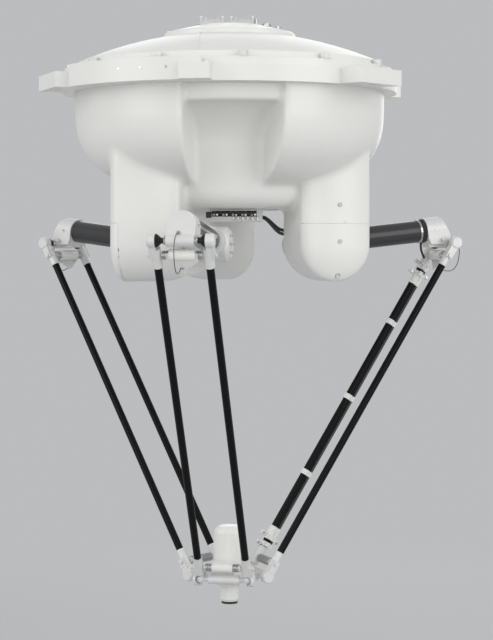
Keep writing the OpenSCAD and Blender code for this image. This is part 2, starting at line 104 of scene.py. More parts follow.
class Graph:
    """The node graph of one material, with its shader and its output in place."""

    def __init__(self, name):
        self.material = bpy.data.materials.new(name)
        self.material.use_nodes = True
        self.tree = self.material.node_tree
        self.tree.nodes.clear()
        self.shader = self.node("ShaderNodeBsdfPrincipled")
        self.node("ShaderNodeOutputMaterial", {}, {"Surface": self.shader.outputs["BSDF"]})
        self.place = self.node("ShaderNodeTexCoord").outputs["Object"]

    def node(self, kind, settings=None, values=None):
        node = self.tree.nodes.new(kind)
        for key, value in (settings or {}).items():
            setattr(node, key, value)
        for key, value in (values or {}).items():
            value = value.value if isinstance(value, Socket) else value
            if isinstance(value, bpy.types.NodeSocket):
                self.tree.links.new(value, node.inputs[key])
            else:
                node.inputs[key].default_value = value
        return node

    def noise(self, scale, detail):
        node = self.node("ShaderNodeTexNoise", {}, {"Vector": self.place, "Scale": scale, "Detail": detail})
        return Socket(self, node.outputs["Fac"])

    def turned(self, rotation, location):
        node = self.node("ShaderNodeMapping", {"vector_type": "TEXTURE"},
                         {"Vector": self.place, "Rotation": rotation, "Location": location})
        return node.outputs["Vector"]

    def mixed(self, share, first, second):
        node = self.node("ShaderNodeMix", {"data_type": "RGBA"},
                         {"Factor": share, 6: (*first, 1.0), 7: (*second, 1.0)})
        return node.outputs[2]

    def bumped(self, height, distance, strength):
        height = height.value if isinstance(height, Socket) else height
        node = self.node("ShaderNodeBump", {},
                         {"Strength": strength, "Distance": distance, "Height": height})
        self.feed("Normal", node.outputs["Normal"])

    def feed(self, name, value):
        value = value.value if isinstance(value, Socket) else value
        if isinstance(value, bpy.types.NodeSocket):
            self.tree.links.new(value, self.shader.inputs[name])
        else:
            self.shader.inputs[name].default_value = value


def paint(name, tone, tint, roughness):
    """Satin two-pack paint: faint clouding of tone, and an orange-peel skin under 0.1 mm deep."""
    graph = Graph(name)
    cloud = graph.noise(5.0, 3.0) * 0.6 + graph.noise(22.0, 2.0) * 0.4
    graph.feed("Base Color", graph.mixed(cloud.clamped(), tint, tone))
    graph.feed("Roughness", graph.noise(60.0, 2.0) * 0.10 + (roughness - 0.05))
    graph.feed("Coat Weight", 0.18)
    graph.feed("Coat Roughness", 0.22)
    graph.bumped(graph.noise(420.0, 1.0), 0.00006, 0.55)
    return graph.material


white_paint = paint("white_paint", (0.78, 0.775, 0.745), (0.75, 0.745, 0.715), 0.36)


def merged(node_name):
    """A welded copy of a rigid node's mesh."""
    shape = bmesh.new()
    shape.from_mesh(nodes[node_name].data)
    bmesh.ops.remove_doubles(shape, verts=shape.verts, dist=2e-6)
    return shape


def placed(shape, name, material, body, smooth=35.0, replaces=()):
    """Turns a finished shape into a piece at the origin, smooth up to an angle, on its body."""
    mesh = bpy.data.meshes.new(name)
    shape.to_mesh(mesh)
    shape.free()
    for polygon in mesh.polygons:
        polygon.use_smooth = True
    mesh.set_sharp_from_angle(angle=math.radians(smooth))
    mesh.materials.append(material)
    piece = bpy.data.objects.new(name, mesh)
    bpy.context.scene.collection.objects.link(piece)
    if body:
        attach(piece, body)
    if replaces:
        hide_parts(*replaces)
    return piece


def modified(shape, kind, **settings):
    """The shape as one modifier leaves it."""
    mesh = bpy.data.meshes.new("work")
    shape.to_mesh(mesh)
    shape.free()
    piece = bpy.data.objects.new("work", mesh)
    bpy.context.scene.collection.objects.link(piece)
    modifier = piece.modifiers.new("work", kind)
    for key, value in settings.items():
        setattr(modifier, key, value)
    mesh = bpy.data.meshes.new_from_object(piece.evaluated_get(bpy.context.evaluated_depsgraph_get()))
    bpy.data.objects.remove(piece)
    result = bmesh.new()
    result.from_mesh(mesh)
    bpy.data.meshes.remove(mesh)
    return result


def relax(shape, verts, turns):
    """Draws part of a skin half way to the mean of its neighbours, once for each turn."""
    for _ in range(turns):
        bmesh.ops.smooth_vert(shape, verts=verts, factor=0.5,
                              use_axis_x=True, use_axis_y=True, use_axis_z=True)


# Outer corners keep their sharp shape. Where a lobe runs into the bowl the skin relaxes over
# a strip, as the mould's fillet does.
sharp_turn, spot_gap, skin_cell = math.radians(24), 0.001, 0.004
fillet, fillet_fade = 0.018, 0.008
fillet_low, fillet_high = -0.30, -0.06
corner_hold, corner_clear = 0.0024, 0.010
shell = merged("body_shell")
true_form = BVHTree.FromBMesh(shell)
edge_spots, hollow_spots = [], []
for edge in shell.edges:
    if len(edge.link_faces) == 2 and edge.calc_face_angle(0.0) > sharp_turn:
        start, end = (v.co for v in edge.verts)
        steps = max(1, int((end - start).length / spot_gap))
        spots = [start.lerp(end, k / steps) for k in range(steps + 1)]
        if edge.is_convex:
            edge_spots += spots
        elif fillet_low < min(start.z, end.z) < fillet_high:
            hollow_spots += spots[::3]
shell_corners, shell_hollows = KDTree(len(edge_spots)), KDTree(len(hollow_spots))
for tree, spots in ((shell_corners, edge_spots), (shell_hollows, hollow_spots)):
    for index, spot in enumerate(spots):
        tree.insert(spot, index)
    tree.balance()
casting = modified(shell, "REMESH", mode="VOXEL", voxel_size=skin_cell)

to_hollow = {v: shell_hollows.find(v.co)[2] for v in casting.verts}
for reach, turns in ((fillet, 10), (fillet * 0.6, 6), (fillet * 0.35, 4)):
    relax(casting, [v for v in casting.verts if to_hollow[v] < reach], turns)
for v in casting.verts:
    hold = min(1.0, max(0.0, (to_hollow[v] - fillet) / fillet_fade))
    corner, _, distance = shell_corners.find(v.co)
    near = corner if distance < corner_hold else true_form.find_nearest(v.co)[0]
    v.co = v.co.lerp(near, hold)
relax(casting, [v for v in casting.verts
                if to_hollow[v] > fillet and shell_corners.find(v.co)[2] > corner_clear], 14)

# The rim is cut square and drawn up again to its full height.
rim_cut, rim_top = -0.041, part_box("body_shell")[1].z
bmesh.ops.bisect_plane(casting, geom=casting.verts[:] + casting.edges[:] + casting.faces[:], dist=1e-7,
                       plane_co=(0, 0, rim_cut), plane_no=(0, 0, 1), clear_outer=True)
rise = bmesh.ops.extrude_edge_only(casting, edges=[e for e in casting.edges if e.is_boundary])
bmesh.ops.translate(casting, verts=[g for g in rise["geom"] if isinstance(g, bmesh.types.BMVert)],
                    vec=(0, 0, rim_top - rim_cut))
bmesh.ops.triangle_fill(casting, use_beauty=True, edges=[e for e in casting.edges if e.is_boundary])
bmesh.ops.recalc_face_normals(casting, faces=casting.faces)
casting = modified(casting, "DECIMATE", ratio=0.53)
placed(casting, "body_casting", white_paint, "base", 60.0, replaces=("body_shell",))


# ---------- End caps and cover screws ----------
# Each motor lobe is closed by a round cast cap, painted with the body, along a fine open
# seam. Dull steel screws hold it.
arms = (1, 2, 3)


def softened(node_name, width, material, body):
    """A rigid node's own shape with its edges rounded, shown in the node's place."""
    flat_turn, sharp_turn = math.radians(0.6), math.radians(28)
    shape = merged(node_name)
    bmesh.ops.dissolve_limit(shape, angle_limit=flat_turn, verts=shape.verts, edges=shape.edges)
    edges = [e for e in shape.edges if len(e.link_faces) == 2 and e.calc_face_angle(0.0) > sharp_turn]
    bmesh.ops.bevel(shape, geom=edges, offset=width, offset_type="OFFSET", segments=2, profile=0.5,
                    affect="EDGES", clamp_overlap=True, material=-1)
    piece = placed(shape, node_name + "_finished", material, body, replaces=(node_name,))
    weigh = piece.modifiers.new("even_normals", "WEIGHTED_NORMAL")
    weigh.keep_sharp = True


for arm in arms:
    softened(f"end_cap_{arm}", 0.0005, white_paint, "base")


def metal(name, tone, tint, roughness, metallic, grain=1.0, bump=0.00002):
    """Machined or cast metal: slight clouding, a fine surface grain, roughness that wanders."""
    graph = Graph(name)
    cloud = graph.noise(30.0, 3.0)
    graph.feed("Base Color", graph.mixed(cloud.clamped(), tint, tone))
    graph.feed("Metallic", metallic)
    graph.feed("Roughness", graph.noise(140.0, 2.0) * 0.14 + (roughness - 0.07))
    graph.bumped(graph.noise(500.0 * grain, 2.0), bump, 0.25)
    return graph.material


def finish(material, *names):
    """Gives rigid nodes that stay as they are their finished surface."""
    for name in names:
        for holder in nodes[name].material_slots:
            holder.material = material


dull_steel = metal("dull_steel", (0.50, 0.50, 0.495), (0.40, 0.40, 0.395), 0.46, 0.85)
finish(dull_steel, "cap_screws")


# ---------- Mounting ring ----------
# A heavy machined ring with three ears and one raised band, painted with the body. Its edges
# are broken by a small chamfer, and three steel plugs close the band's holes.
def spun(profile, place, steps):
    """A round closed part from its side profile of (radius, height), standing along +Z."""
    shape = bmesh.new()
    line = [shape.verts.new((radius, 0.0, height)) for radius, height in profile]
    edges = [shape.edges.new(pair) for pair in zip(line, line[1:])]
    if min(radius for radius, _ in profile) > 0:
        edges.append(shape.edges.new((line[-1], line[0])))
    bmesh.ops.spin(shape, geom=line + edges, cent=(0, 0, 0), axis=(0, 0, 1), angle=2 * math.pi,
                   steps=steps, use_merge=True)
    bmesh.ops.remove_doubles(shape, verts=shape.verts, dist=1e-6)
    bmesh.ops.recalc_face_normals(shape, faces=shape.faces)
    shape.transform(place)
    return shape


def together(*shapes):
    """Several shapes as one piece."""
    whole = bmesh.new()
    for shape in shapes:
        mesh = bpy.data.meshes.new("part")
        shape.to_mesh(mesh)
        shape.free()
        whole.from_mesh(mesh)
        bpy.data.meshes.remove(mesh)
    return whole


def turned_about(degrees):
    return Matrix.Rotation(math.radians(degrees), 4, "Z")


softened("mounting_ring", 0.0016, white_paint, "base")
steel = metal("steel", (0.62, 0.625, 0.63), (0.52, 0.525, 0.53), 0.28, 1.0)
band_r, plug_z, plug_sunk = 0.389, -0.006, 0.0006
plug_profile = [(0.0, 0.0), (0.003, 0.0), (0.003, 0.0007), (0.0022, 0.0009), (0.0, 0.0004)]
lie_out = Matrix.Rotation(math.pi / 2, 4, "Y")
in_band = Matrix.Translation((band_r - plug_sunk, 0, plug_z)) @ lie_out
plugs = [spun(plug_profile, turned_about(degrees) @ in_band, 20) for degrees in (-115.2, -107.2, -98.8)]
placed(together(*plugs), "band_plugs", steel, "base")


# ---------- Dome cover ----------
# A shallow spun lid, painted with the body, with a seam strip down its front. Twelve hexagon
# nuts on washers hold its brim to the ring.
softened("dome_cover", 0.0015, white_paint, "base")
cast_aluminium = metal("cast_aluminium", (0.76, 0.76, 0.742), (0.68, 0.685, 0.67), 0.50, 0.30, 1.0, 0.00004)
finish(steel, "dome_bolts")
bolt_count, bolt_circle, brim_z = 12, 0.346, 0.017
nut_r, nut_height, nut_middle, nut_edge = 0.0110, 0.0105, 0.0070, 0.0007
washer_profile = [(0.0, 0.0), (0.0134, 0.0), (0.0134, 0.0014), (0.0128, 0.0020), (0.0, 0.0020)]
nuts = []
for k in range(bolt_count):
    at_bolt = turned_about((k + 0.5) * 360 / bolt_count) @ Matrix.Translation((bolt_circle, 0, brim_z))
    nut = bmesh.new()
    bmesh.ops.create_cone(nut, cap_ends=True, segments=6, radius1=nut_r, radius2=nut_r, depth=nut_height,
                          matrix=Matrix.Translation((0, 0, nut_middle)))
    bmesh.ops.bevel(nut, geom=nut.edges[:], offset=nut_edge, offset_type="OFFSET", segments=2, profile=0.5,
                    affect="EDGES", clamp_overlap=True, material=-1)
    nut.transform(at_bolt)
    nuts += [nut, spun(washer_profile, at_bolt, 32)]
placed(together(*nuts), "dome_nuts", cast_aluminium, "base")

# The seam, the plugs on the crown and the board under the core share one turn about the axis.
front_turn = turned_about(10)
dome_sphere_r, dome_sphere_z = 0.830, -0.72883
seam_x, seam_width, seam_thickness, seam_sunk = -0.063, 0.0046, 0.0022, 0.0006
seam_from, seam_to = 0.131, 0.3255
seam = bmesh.new()
bmesh.ops.create_grid(seam, x_segments=2, y_segments=24, size=0.5)
for v in seam.verts:
    x = seam_x + v.co.x * seam_width
    y = -(seam_from + (seam_to - seam_from) * (0.5 - v.co.y))
    z = dome_sphere_z + math.sqrt(dome_sphere_r ** 2 - x * x - y * y) - seam_sunk
    v.co = front_turn @ Vector((x, y, z))
bmesh.ops.recalc_face_normals(seam, faces=seam.faces)
bmesh.ops.solidify(seam, geom=seam.faces[:], thickness=-seam_thickness)
bmesh.ops.recalc_face_normals(seam, faces=seam.faces)
placed(seam, "dome_seam", white_paint, "base")


# ---------- Crown lid and its connectors ----------
# A flat round lid carries two die-cast plug hoods with spring levers and three small steel
# fittings. Knobs and ribs are cast on the hoods, and a lug on the lid's edge.
def block(size, place, edge):
    """A small moulded block, centred on its place, with its edges broken."""
    shape = bmesh.new()
    bmesh.ops.create_cube(shape, size=1.0, matrix=Matrix.Diagonal((*size, 1.0)))
    bmesh.ops.bevel(shape, geom=shape.edges[:], offset=edge, offset_type="OFFSET", segments=2, profile=0.5,
                    affect="EDGES", clamp_overlap=True, material=-1)
    shape.transform(place)
    return shape


softened("crown_lid", 0.0015, white_paint, "base")
connector_grey = metal("connector_grey", (0.66, 0.665, 0.655), (0.58, 0.585, 0.58), 0.48, 0.35,
                       0.8, 0.00005)
softened("connector_plate", 0.0008, cast_aluminium, "base")
softened("power_connector", 0.0015, connector_grey, "base")
softened("signal_connector", 0.0015, connector_grey, "base")
finish(cast_aluminium, "lock_levers")
finish(steel, "air_fittings")

lug_x, lug_z = -0.132, 0.1035
lug = block((0.010, 0.008, 0.006), front_turn @ Matrix.Translation((lug_x, 0.0, lug_z)), 0.0012)
placed(lug, "crown_lug", white_paint, "base")
hood_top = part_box("crown_lid")[1].z + 0.0142
knob_profile = [(0.0, 0.0), (0.0032, 0.0), (0.0036, 0.001),
                (0.0036, 0.0035), (0.0028, 0.0045), (0.0, 0.0045)]
knobs = [spun(knob_profile, front_turn @ Matrix.Translation((x, y, hood_top)), 20)
         for x in (-0.052, -0.026, 0.014, 0.040) for y in (-0.010, 0.010)]
rib_gap, ribs_in_row = 0.004, 4
rib_places = [x + rib_gap * k for x in (-0.045, 0.021) for k in range(ribs_in_row)]
ribs = [block((0.0012, 0.030, 0.004), front_turn @ Matrix.Translation((x, 0.0, hood_top)), 0.0003)
        for x in rib_places]
placed(together(*knobs, *ribs), "connector_knobs", connector_grey, "base")


# ---------- Terminal board and lobe cables ----------
# A folded aluminium tray under the core holds a dark circuit board with its terminals, chips
# and shields. Two black blocks, a long strip along the tray's top and a block over its left end,
# are painted shade under the core. Two sheathed cables run from the board to the second lobe.
def sheath(name, tone, tint, roughness):
    """Rubber or plastic: dull skin with a faint mottle."""
    graph = Graph(name)
    graph.feed("Base Color", graph.mixed(graph.noise(120.0, 2.0).clamped(), tint, tone))
    graph.feed("Roughness", graph.noise(300.0, 2.0) * 0.2 + (roughness - 0.1))
    graph.bumped(graph.noise(1200.0, 1.0), 0.00003, 0.5)
    return graph.material


softened("board_bracket", 0.0007, cast_aluminium, "base")
board_graph = Graph("circuit_board")
mottle = board_graph.noise(90.0, 3.0).clamped()
board_graph.feed("Base Color", board_graph.mixed(mottle, (0.012, 0.022, 0.018), (0.03, 0.045, 0.04)))
board_graph.feed("Roughness", 0.5)
finish(board_graph.material, "terminal_board")


def board_part(size, x, y, z, edge=0.0003):
    """A small block on the board, at a place in the board's own turn."""
    return block(size, front_turn @ Matrix.Translation((x, y, z)), edge)


pale_parts, black_parts_and_shade_blocks, bright_parts = [], [], []
stand_z, hang_z = -0.2995, -0.3008
for index in range(15):
    height = (0.0050, 0.0075, 0.0040, 0.0085, 0.0060)[index % 5]
    group = (pale_parts, bright_parts, black_parts_and_shade_blocks)[(index * 7) % 3]
    x = -0.034 + 0.0069 * index
    group.append(board_part((0.0048, 0.0036, height), x, -0.0372, stand_z + height / 2))
# Painted shade: a black block over the tray's left end and a thin black strip along its top stand in for
# the shadow under the core; they are not parts of the board.
black_parts_and_shade_blocks.append(board_part((0.0120, 0.0040, 0.0130), -0.0450, -0.0415, -0.2975, 0.0004))
black_parts_and_shade_blocks.append(board_part((0.1120, 0.0020, 0.0045), 0.0120, -0.0405, -0.2930, 0.0004))
for index in range(11):
    drop = (0.007, 0.0095, 0.008)[index % 3]
    group = pale_parts if index % 2 else bright_parts
    x = 0.008 + 0.0053 * index
    group.append(board_part((0.0040, 0.0022, drop), x, -0.0431, hang_z - drop / 2))
for index in range(9):
    group = bright_parts if index % 2 else pale_parts
    group.append(board_part((0.0062, 0.0024, 0.0052), -0.032 + 0.0112 * index, -0.0240, -0.2925))
terminal_white = sheath("terminal_white", (0.66, 0.66, 0.64), (0.56, 0.56, 0.54), 0.42)
terminal_black = sheath("terminal_black", (0.02, 0.02, 0.021), (0.012, 0.012, 0.012), 0.4)
placed(together(*pale_parts), "board_terminals", terminal_white, "base")
# The black parts are real black terminals and chips, together with the two painted-shade blocks.
placed(together(*black_parts_and_shade_blocks), "board_chips_and_shade_blocks", terminal_black, "base")
placed(together(*bright_parts), "board_shields", steel, "base")

cable_grey = sheath("cable_grey", (0.05, 0.05, 0.054), (0.032, 0.032, 0.034), 0.55)
finish(cable_grey, "lobe_cable_1", "lobe_cable_2")


# ---------- Servo motors and gearboxes ----------
# A black servo motor with a cast aluminium gearbox drives each arm from inside its lobe. Both
# sit behind the lobe's wall, out of sight.
motor_black = sheath("motor_black", (0.02, 0.02, 0.022), (0.012, 0.012, 0.013), 0.45)
for arm in arms:
    finish(motor_black, f"servo_motor_{arm}")
    finish(cast_aluminium, f"gearbox_{arm}")


# ---------- Arm hubs ----------
# The hub is a cast and turned aluminium barrel on the gearbox flange, with a socket for the
# tube. Six steel screws stand in a ring on its outer end.
def screw(radius, height, place):
    """A socket head screw standing on its place along +Z, its socket left round."""
    return spun([(0.0, 0.0), (radius, 0.0), (radius, height * 0.85), (radius * 0.9, height),
                 (radius * 0.5, height), (radius * 0.5, height * 0.5), (0.0, height * 0.5)], place, 24)


def turned_to(arm):
    return turned_about(-90 + 120 * (arm - 1))


def outward(side):
    """Lays +Z along +Y for side 1, and along -Y for side -1."""
    return Matrix.Rotation(-side * math.pi / 2, 4, "X")


shoulder_r, shoulder_z, hub_end = 0.170, -0.362, 0.035
screw_circle, screw_sunk, hub_screw_count = 0.0205, 0.0002, 6
for arm in arms:
    softened(f"arm_hub_{arm}", 0.0012, cast_aluminium, f"arm_{arm}")
for arm in arms:
    end = turned_to(arm) @ Matrix.Translation((shoulder_r, hub_end, shoulder_z)) @ outward(1)
    in_circle = Matrix.Translation((screw_circle, 0, -screw_sunk))
    screws = [screw(0.0026, 0.0022, end @ turned_about(k * 360 / hub_screw_count) @ in_circle)
              for k in range(hub_screw_count)]
    placed(together(*screws), f"hub_screws_{arm}", steel, f"arm_{arm}")


# ---------- Arm tubes ----------
# Each driven arm is a carbon fibre tube, a twill weave under clear lacquer. It is bonded in
# the hub and in the elbow bracket.
elbow_r, elbow_z = 0.520, -0.357
tube_r, tube_lift = 0.025, 0.033
tube_rise = math.atan2(elbow_z - shoulder_z + tube_lift, elbow_r - shoulder_r)


def tube_place(arm):
    """+Z along the arm tube, from the shoulder axis outwards."""
    return (turned_to(arm) @ Matrix.Translation((shoulder_r, 0, shoulder_z))
            @ Matrix.Rotation(math.pi / 2 - tube_rise, 4, "Y"))


def carbon(name, place, radius, cells_round, tone, shine, coat):
    """Twill weave that follows one tube: each tow passes over two and under two."""
    graph = Graph(name)
    along = graph.turned(place.to_euler(), place.translation)
    split = graph.node("ShaderNodeSeparateXYZ", {}, {"Vector": along})
    x, y, z = (Socket(graph, split.outputs[k]) for k in range(3))
    cell = 2 * math.pi * radius / cells_round
    round_cell = y.sum("ARCTAN2", x) * (cells_round / (2 * math.pi)) + cells_round
    long_cell = z / cell + 400
    over = ((round_cell.sum("FLOOR") + long_cell.sum("FLOOR")) / 4).part().sum("LESS_THAN", 0.45)
    from_round, from_long = round_cell.part() - 0.5, long_cell.part() - 0.5
    rise = from_round * from_round * over + from_long * from_long * (1 - over)
    shade = (over * 0.5 + 0.25 + (graph.noise(250.0, 2.0) - 0.5) * 0.6).clamped()
    graph.feed("Base Color", graph.mixed(shade, tuple(0.6 * c for c in tone), tone))
    graph.feed("Roughness", 0.40 - over * 0.06)
    graph.feed("Specular IOR Level", shine)
    graph.feed("Coat Weight", coat)
    graph.feed("Coat Roughness", 0.12)
    graph.bumped(1 - rise * 3.0, 0.00008, 0.5)
    return graph.material


for arm in arms:
    weave = carbon(f"carbon_arm_{arm}", tube_place(arm), tube_r, 64, (0.040, 0.040, 0.042), 0.3, 0.45)
    finish(weave, f"arm_tube_{arm}")


# ---------- Elbow brackets ----------
# A cast aluminium nose on the tube's end carries a cross shaft of dark burnished steel with
# its two balls. A bright collar sits on the shaft at each side, and screws hold the nose.
burnished = metal("ball_steel", (0.055, 0.055, 0.058), (0.035, 0.035, 0.037), 0.24, 0.85, 1.0, 0.00001)
for arm in arms:
    softened(f"elbow_bracket_{arm}", 0.0015, cast_aluminium, f"arm_{arm}")
    finish(burnished, f"elbow_shaft_{arm}")


def elbow_place(arm):
    return turned_to(arm) @ Matrix.Translation((elbow_r, 0, elbow_z))


cheek, face_slant = 0.0283, math.atan2(3.0, 14.0)
on_face = Matrix.Translation((0.0013, -0.004, 0.015)) @ Matrix.Rotation(math.pi / 2 - face_slant, 4, "Y")
collar_profile = [(0.0, 0.0), (0.0084, 0.0), (0.0084, 0.0046), (0.0074, 0.0058), (0.0, 0.0058)]
for arm in arms:
    parts = [screw(0.0040, 0.0030, elbow_place(arm) @ on_face)]
    for side in (-1, 1):
        on_cheek = Matrix.Translation((-0.034, side * cheek, 0.030)) @ outward(side)
        parts.append(screw(0.0024, 0.0020, elbow_place(arm) @ on_cheek))
    for side in (-1, 1):
        on_shaft = Matrix.Translation((0, side * cheek, 0)) @ outward(side)
        parts.append(spun(collar_profile, elbow_place(arm) @ on_shaft, 32))
    placed(together(*parts), f"elbow_screws_{arm}", steel, f"arm_{arm}")

# The second arm's tube has a marking ring and a ribbed sleeve behind its bracket.
sleeve_r, ring_from, sleeve_from, sleeve_to = 0.0251, 0.2810, 0.2860, 0.2975
rib_count, rib_pitch = 7, 0.0017
ring_profile = [(sleeve_r, ring_from), (0.0268, 0.2815), (0.0268, 0.2855), (sleeve_r, sleeve_from)]
placed(spun(ring_profile, tube_place(2), 64), "marking_ring", steel, "arm_2")
profile = [(sleeve_r, sleeve_from)]
for k in range(rib_count):
    z = sleeve_from + 0.0005 + rib_pitch * k
    profile += [(0.0262, z), (0.0266, z + 0.0004), (0.0262, z + 0.0010), (0.0257, z + 0.0012)]
profile += [(sleeve_r, sleeve_to)]
placed(spun(profile, tube_place(2), 64), "marking_sleeve", cable_grey, "arm_2")


# ---------- Rods ----------
# Six pulled carbon tubes join the elbows to the platform, in three pairs. Each is bonded in a
# socket at both ends.
rod_length, rod_r, platform_r, half_gap = 0.858, 0.008, 0.067, 0.052
rod_tilt = math.asin((elbow_r - platform_r) / rod_length)


def rod_place(arm, side):
    """+Z down one rod from its upper ball, or down the middle of the pair for side 0."""
    return (turned_to(arm) @ Matrix.Translation((elbow_r, side * half_gap, elbow_z))
            @ Matrix.Rotation(math.pi + rod_tilt, 4, "Y"))


for arm in arms:
    for letter, side in (("a", -1), ("b", 1)):
        weave = carbon(f"carbon_rod_{arm}{letter}", rod_place(arm, side), rod_r, 28,
                       (0.005, 0.005, 0.0055), 0.12, 0.06)
        finish(weave, f"rod_{arm}{letter}")


# ---------- Rod ends ----------
# A cast aluminium half socket is bonded on each end of a rod and is held on its ball by
# springs. A black rubber boot closes each upper socket.
for arm in arms:
    for letter in "ab":
        softened(f"rod_ends_{arm}{letter}", 0.0009, cast_aluminium, f"rod_pair_{arm}")


liner_black = sheath("liner_black", (0.016, 0.016, 0.017), (0.010, 0.010, 0.010), 0.38)
boot_profile = [(0.0096, 0.0020), (0.0134, 0.0020), (0.0134, 0.0042), (0.0118, 0.0052), (0.0124, 0.0062),
                (0.0102, 0.0074), (0.0108, 0.0084), (0.0084, 0.0098), (0.0086, 0.0112), (0.0066, 0.0116),
                (0.0066, 0.0104), (0.0088, 0.0062), (0.0094, 0.0036)]
for arm in arms:
    boots = [spun(boot_profile, rod_place(arm, side) @ outward(-side), 40) for side in (-1, 1)]
    placed(together(*boots), f"socket_liners_{arm}", liner_black, f"rod_pair_{arm}")


# ---------- Spring ties ----------
# A barrel with a spring inside pulls the two sockets of a pair on to their balls, at both ends
# of the rods. Sleeves cover the springs, a riveted plate joins the upper pair, and a thin
# keeper wire hangs in a loop from each elbow to its plate.
def tube(path, radius, sides):
    """A round wire or cable along a smooth line through the given points."""
    curve = bpy.data.curves.new("route", "CURVE")
    curve.dimensions = "3D"
    curve.bevel_depth, curve.bevel_resolution, curve.use_fill_caps = radius, sides // 2 - 1, True
    line = curve.splines.new("NURBS")
    line.points.add(len(path) - 1)
    for point, spot in zip(line.points, path):
        point.co = (*spot, 1.0)
    line.order_u, line.use_endpoint_u, line.resolution_u = 4, True, 8
    holder = bpy.data.objects.new("route", curve)
    bpy.context.scene.collection.objects.link(holder)
    mesh = bpy.data.meshes.new_from_object(holder.evaluated_get(bpy.context.evaluated_depsgraph_get()))
    bpy.data.objects.remove(holder)
    shape = bmesh.new()
    shape.from_mesh(mesh)
    bmesh.ops.remove_doubles(shape, verts=shape.verts, dist=1e-6)
    bmesh.ops.recalc_face_normals(shape, faces=shape.faces)
    return shape


for arm in arms:
    softened(f"spring_tie_{arm}", 0.0006, cast_aluminium, f"rod_pair_{arm}")

spring_grey = metal("spring_grey", (0.50, 0.50, 0.50), (0.38, 0.38, 0.385), 0.35, 0.9)
wire_dark = metal("wire_dark", (0.16, 0.13, 0.10), (0.10, 0.085, 0.07), 0.4, 0.7)
tie_down, barrel_r, thread_r = 0.033, 0.0076, 0.0009
sleeve_profile = [(barrel_r, -0.0260), (0.0114, -0.0260), (0.0120, -0.0250),
                  (0.0120, 0.0250), (0.0114, 0.0260), (barrel_r, 0.0260)]
grooved_profile = [(barrel_r, -0.0225), (0.0090, -0.0225), (0.0096, -0.0215), (0.0096, 0.0040),
                   (0.0092, 0.0044), (0.0092, 0.0050), (0.0096, 0.0054), (0.0096, 0.0215),
                   (0.0090, 0.0225), (barrel_r, 0.0225)]
bellows_end, bellows_pitch, bellows_ribs = 0.0330, 0.00412, 16
bellows_profile = [(barrel_r, -bellows_end)]
for k in range(bellows_ribs):
    z = -bellows_end + bellows_pitch * k
    bellows_profile += [(0.0086, z), (0.0092, z + 0.0010), (0.0092, z + 0.0022), (0.0086, z + 0.0032)]
bellows_profile += [(barrel_r, bellows_end)]
coil_r, coil_length, coil_turns, steps_in_turn = 0.0086, 0.0135, 6, 12
rivet_places = ((-0.022, 0.034), (0.022, 0.034), (0.0, 0.058))
rivet_out = Matrix.Rotation(-math.pi / 2, 4, "Y")
wire_loop = [(0.004, -0.0040, 0.0148), (0.016, -0.0045, 0.0145), (0.029, -0.0055, 0.006),
             (0.0345, -0.0062, -0.010), (0.0340, -0.0064, -0.030), (0.029, -0.0060, -0.050),
             (0.019, -0.0056, -0.0620), (0.007, -0.0052, -0.0650), (-0.008, -0.0048, -0.0620),
             (-0.020, -0.0044, -0.0560), (-0.0245, -0.0042, -0.0515)]


def coil(middle, side, down, near):
    """A bare end of a spring, beside its sleeve."""
    route = []
    for k in range(coil_turns * steps_in_turn + 1):
        turn = 2 * math.pi * k / steps_in_turn
        along = side * (near + coil_length * k / (coil_turns * steps_in_turn))
        route.append(middle @ Vector((coil_r * math.cos(turn), along, down + coil_r * math.sin(turn))))
    return tube(route, thread_r, 6)


for arm in arms:
    middle = rod_place(arm, 0)
    upper = spun(sleeve_profile, middle @ Matrix.Translation((0, 0, tie_down)) @ outward(-1), 40)
    placed(upper, f"spring_sleeve_{arm}", white_paint, f"rod_pair_{arm}")
    # The first pair has a smooth lower sleeve with a bare spring at each side, the others a
    # ribbed one that hides its spring.
    at_lower = middle @ Matrix.Translation((0, 0, rod_length - tie_down)) @ outward(-1)
    bare_springs = [(tie_down, 0.0265)]
    if arm == 1:
        lower = spun(grooved_profile, at_lower, 40)
        placed(lower, f"lower_spring_{arm}", white_paint, f"rod_pair_{arm}")
        bare_springs.append((rod_length - tie_down, 0.0230))
    else:
        lower = spun(bellows_profile, at_lower, 40)
        placed(lower, f"lower_spring_{arm}", spring_grey, f"rod_pair_{arm}")
    coils = [coil(middle, side, down, near) for side in (-1, 1) for down, near in bare_springs]
    placed(together(*coils), f"spring_coils_{arm}", steel, f"rod_pair_{arm}")

    rivets = [screw(0.0026, 0.0014, middle @ Matrix.Translation((-0.0089, y, z)) @ rivet_out)
              for y, z in rivet_places]
    placed(together(*rivets), f"tie_plate_rivets_{arm}", steel, f"rod_pair_{arm}")

    route = [elbow_place(arm) @ Vector(point) for point in wire_loop]
    wire = placed(tube(route, thread_r, 8), f"keeper_wire_{arm}", wire_dark, None)
    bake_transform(wire)


# ---------- Cable along the second pair ----------
# A thin sheathed cable runs down one rod under three nylon clips and four nylon clamps, each
# clamp drawn tight by screws in its lugs. A short length of it jumps over from the arm.
finish(cable_grey, "rod_cable")
jump = [elbow_place(2) @ Vector(point) for point in
        ((-0.050, 0.020, 0.008), (-0.050, 0.022, -0.004), (-0.044, 0.034, -0.018),
         (-0.030, 0.046, -0.032), (-0.024, 0.0515, -0.046))]
jump += [rod_place(2, 1) @ Vector((-0.012, 0, down)) for down in (0.058, 0.066)]
jumper = placed(tube(jump, 0.0026, 12), "elbow_cable", cable_grey, None)
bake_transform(jumper)

nylon_graph = Graph("white_nylon")
mottle = nylon_graph.noise(80.0, 2.0).clamped()
nylon_graph.feed("Base Color", nylon_graph.mixed(mottle, (0.70, 0.70, 0.68), (0.78, 0.78, 0.765)))
nylon_graph.feed("Roughness", nylon_graph.noise(400.0, 2.0) * 0.2 + 0.38)
nylon_graph.bumped(nylon_graph.noise(1500.0, 1.0), 0.00002, 0.5)
white_nylon = nylon_graph.material
finish(white_nylon, "cable_clips", "cable_clamps")

